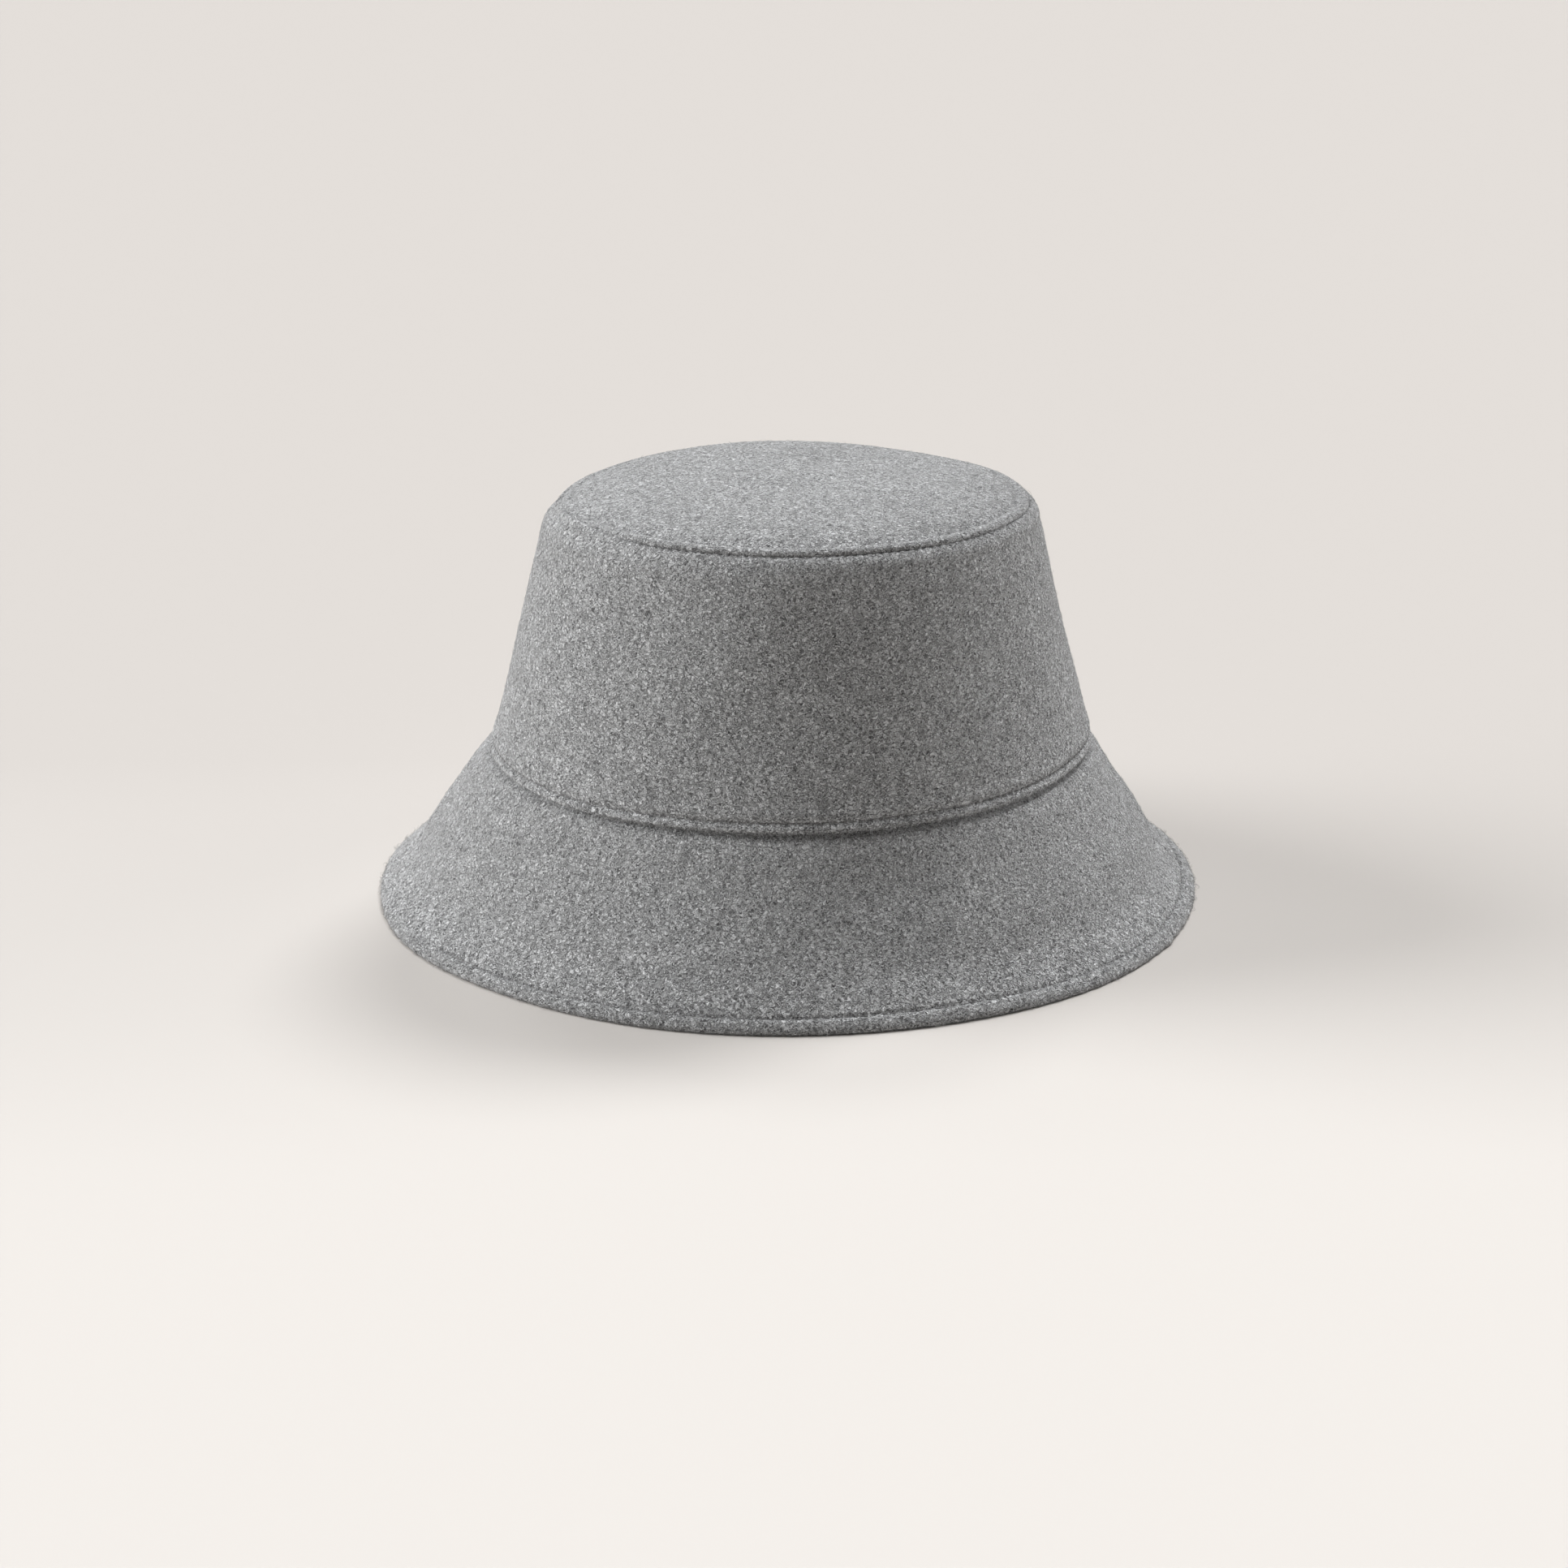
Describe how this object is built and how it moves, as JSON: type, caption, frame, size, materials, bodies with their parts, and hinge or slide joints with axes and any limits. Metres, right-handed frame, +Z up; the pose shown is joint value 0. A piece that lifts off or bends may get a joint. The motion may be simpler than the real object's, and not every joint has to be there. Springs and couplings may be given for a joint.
{
  "type": "bucket hat",
  "caption": "Soft wool bucket hat: an oval flat-topped crown on a sloping stitched brim, lined, with a sweatband and a hanging care label.",
  "frame": {"origin": "under the middle of the hat, at the height of the brim edge that it stands on", "axes": "+Z up through the crown, -Y to the front of the hat, +Y to the centre back, where the labels are, +X to the wearer's left"},
  "size_m": [0.255, 0.268, 0.128],
  "materials": {
    "wool": "brushed wool flannel, grey melange with light and dark fibres, matt and slightly hairy",
    "interlining": "off-white fused canvas, matt",
    "lining": "charcoal satin weave, soft sheen",
    "sweatband": "dark ribbed ribbon, matt",
    "thread": "grey spun sewing thread",
    "label": "blank white woven tape"
  },
  "bodies": {
    "hat": {"crown_tip": "wool", "crown_side_front": "wool", "crown_side_back": "wool", "brim_top_front": "wool", "brim_top_back": "wool", "brim_under_front": "wool", "brim_under_back": "wool", "tip_interlining": "interlining", "crown_interlining_front": "interlining", "crown_interlining_back": "interlining", "brim_stiffener_front": "interlining", "brim_stiffener_back": "interlining", "lining_tip": "lining", "lining_side_front": "lining", "lining_side_back": "lining", "sweatband": "sweatband", "maker_label": "label", "size_tab": "label", "tip_topstitch": "thread", "crown_base_topstitch": "thread", "brim_edge_topstitch": "thread", "brim_edge_underthread": "thread", "sweatband_stitch": "thread"},
    "care_label": {"care_label": "label"}
  },
  "joints": [
    {"name": "care_label_hinge", "type": "hinge", "parent": "hat", "child": "care_label", "pos_m": [0, 0.0812, 0.0856], "axis": [-1, 0, 0], "range_deg": [0, 150]}
  ]
}
